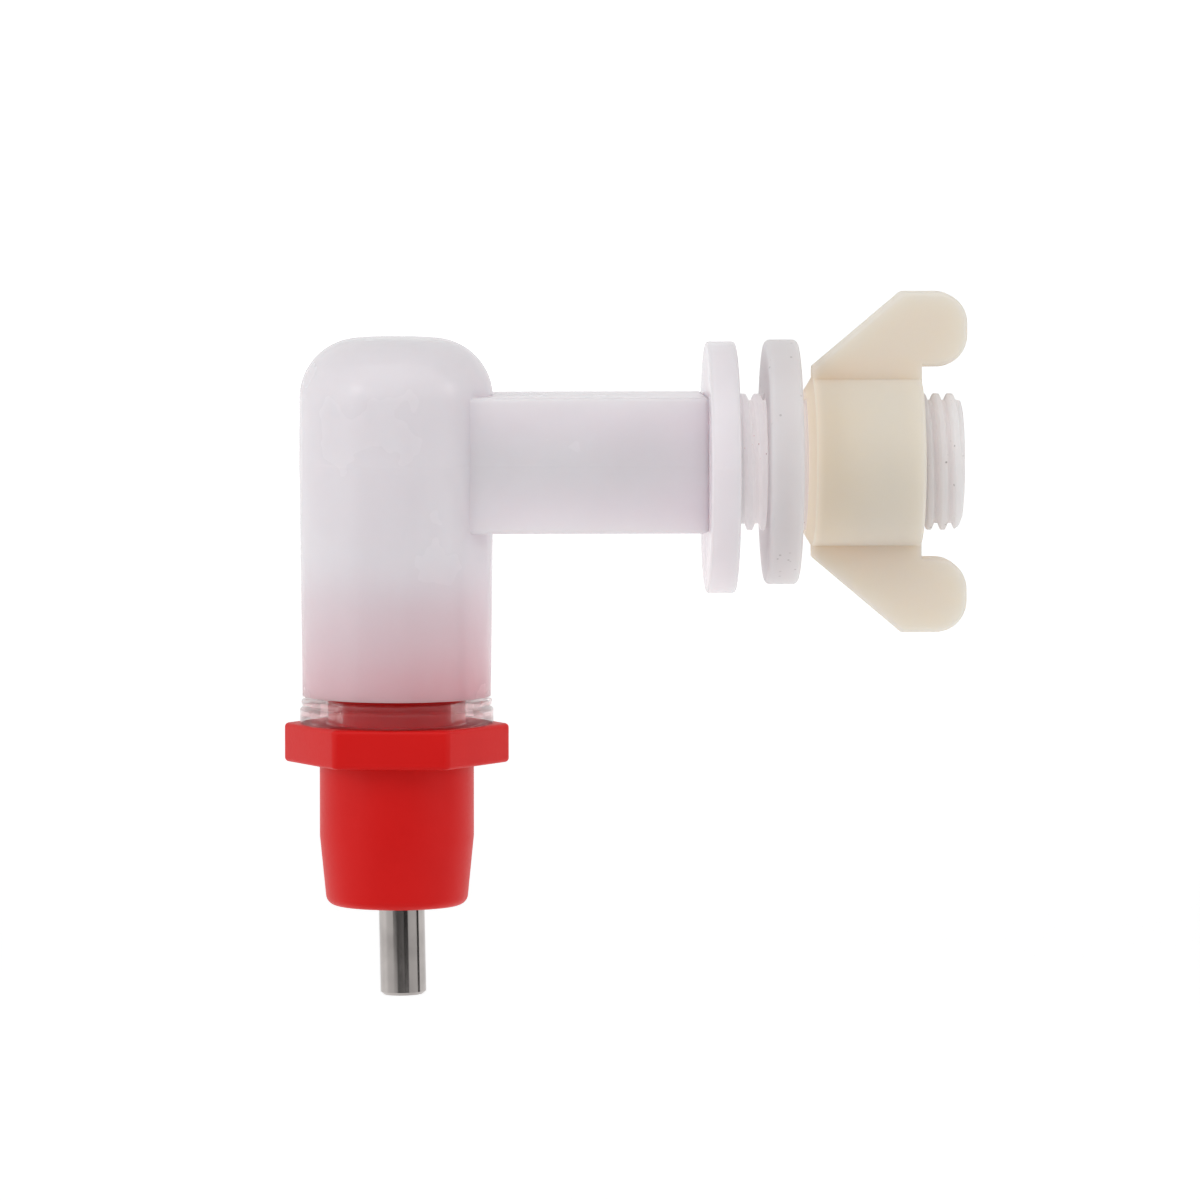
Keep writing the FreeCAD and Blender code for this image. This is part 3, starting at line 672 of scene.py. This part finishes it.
# %% Trim the elbow and raise its parting line
elbow = copy_of("elbow")
rim = keep_side(elbow, (0.2 * MM, 0, 0), (1, 0, 0))
bmesh.ops.bridge_loops(elbow, edges=rim)
for level in (0.2 * MM, -0.2 * MM, 0.07 * MM, -0.07 * MM, 0):
    everything = elbow.verts[:] + elbow.edges[:] + elbow.faces[:]
    bmesh.ops.bisect_plane(elbow, geom=everything, dist=1e-7, plane_co=(0, 0, level), plane_no=(0, 0, 1))
elbow.normal_update()
ridge = [vert for vert in elbow.verts if abs(vert.co.z) < 1e-7 and vert.co.x < -0.1 * MM]
outside = [
    vert
    for vert in ridge
    if math.hypot(vert.co.x - NIPPLE_X, vert.co.y) > 6.5 * MM and abs(vert.co.y) > 4 * MM
]
for vert in outside:
    vert.co += Vector((vert.normal.x, vert.normal.y, 0)) * 0.012 * MM
elbow_piece = finish_piece(elbow, "elbow_moulding", ELBOW_PLASTIC, "fitting", replaces="elbow")
print("parting line points:", len(outside))

# %% [markdown]
# ## The threaded shank
#
# The red body screws into the socket with the same thread. Nobody sees it until the body is taken out. A copy of
# the body is cut off above the gasket, and the threaded tube, stood upright, takes the place of its plain shank.

# %% Thread the shank
SHANK_FOOT = HEXAGON_TOP + 2.3 * MM
SHANK_BORE = 4.02 * MM

moulding = copy_of("nipple_body")
rim = keep_side(moulding, (0, 0, SHANK_FOOT), (0, 0, 1))
bmesh.ops.bridge_loops(moulding, edges=rim)
finish_piece(moulding, "nipple_moulding", BODY_PLASTIC, "fitting", replaces="nipple_body")

shank = threaded_tube(SHANK_FOOT, SHANK_TOP, THREAD_CREST, THREAD_ROOT, SHANK_BORE, 0.5 * MM)
bmesh.ops.rotate(shank, verts=shank.verts, matrix=Matrix.Rotation(-math.pi / 2, 3, "Y"))
bmesh.ops.translate(shank, verts=shank.verts, vec=(NIPPLE_X, 0, 0))
finish_piece(shank, "shank_thread", BODY_PLASTIC, "fitting", replaces="nipple_body")

# %% [markdown]
# ## The gasket
#
# The clear ring is a soft moulding that nobody trimmed. Its outline is spun once round the nipple: a fat band below,
# a groove, and a thin bead that wanders in and out. A shred of flash still hangs off the bead at the upper right.


# %% Spin the gasket
def lathe(profile, steps=128):
    """A closed outline of (radius, height) pairs in millimetres, turned once about the nipple's axis."""
    shape = bmesh.new()
    row = [shape.verts.new((NIPPLE_X + radius * MM, 0, HEXAGON_TOP + height * MM)) for radius, height in profile]
    line = [shape.edges.new((row[number - 1], row[number])) for number in range(len(row))]
    bmesh.ops.spin(
        shape,
        geom=row + line,
        cent=(NIPPLE_X, 0, 0),
        axis=(0, 0, 1),
        dvec=(0, 0, 0),
        angle=math.tau,
        steps=steps,
        use_merge=True,
    )
    return shape


gasket = lathe(
    [
        (5.78, 0.08), (5.86, 0), (7.96, 0), (8.06, 0.1), (8.08, 0.3), (8.05, 0.75), (8.08, 1.15), (8.0, 1.3),
        (7.8, 1.38), (7.76, 1.47), (7.8, 1.56), (7.93, 1.63), (7.95, 1.82), (7.88, 1.97), (7.6, 2.0), (6.9, 1.93),
        (5.9, 1.96), (5.78, 1.88),
    ]
)
for vert in gasket.verts:
    out = Vector((vert.co.x - NIPPLE_X, vert.co.y, 0))
    turn = math.atan2(out.y, out.x)
    bead = max(0.0, (vert.co.z - HEXAGON_TOP) / MM - 1.5) * 2
    if bead and out.length > 7.5 * MM:
        wander = 0.045 * math.sin(5 * turn + 0.6) + 0.03 * math.sin(13 * turn) + 0.02 * math.sin(29 * turn)
        flash = math.exp(-(((turn + 0.35) / 0.13) ** 2))
        vert.co += out.normalized() * (wander * bead + 0.22 * flash * bead) * MM
        vert.co.z += (0.6 * wander * bead + 0.10 * flash * bead - 0.03) * MM
gasket_piece = finish_piece(gasket, "gasket_ring", GASKET_VINYL, "fitting", replaces="nipple_gasket")

# %% [markdown]
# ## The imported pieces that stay
#
# The other pieces have the right shape as packed. They only lose the flat colours they came with.

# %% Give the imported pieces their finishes
carried = {
    "bucket_washer": WASHER_PLASTIC,
    "wing_nut": NUT_PLASTIC,
    "seat_sleeve": SEAT_STEEL,
    "seal_ring": SEAL_RUBBER,
    "upper_seat": SEAT_STEEL,
    "metering_pin": SEAT_STEEL,
    "trigger_pin": PIN_STEEL,
    "inlet_cap": CAP_PLASTIC,
}
for node, finish in carried.items():
    slots = frame["nodes"][node].data.materials
    slots.clear()
    slots.append(finish.material)
print("carried:", ", ".join(carried))

# %% [markdown]
# ## Done

# %% Finish
import json
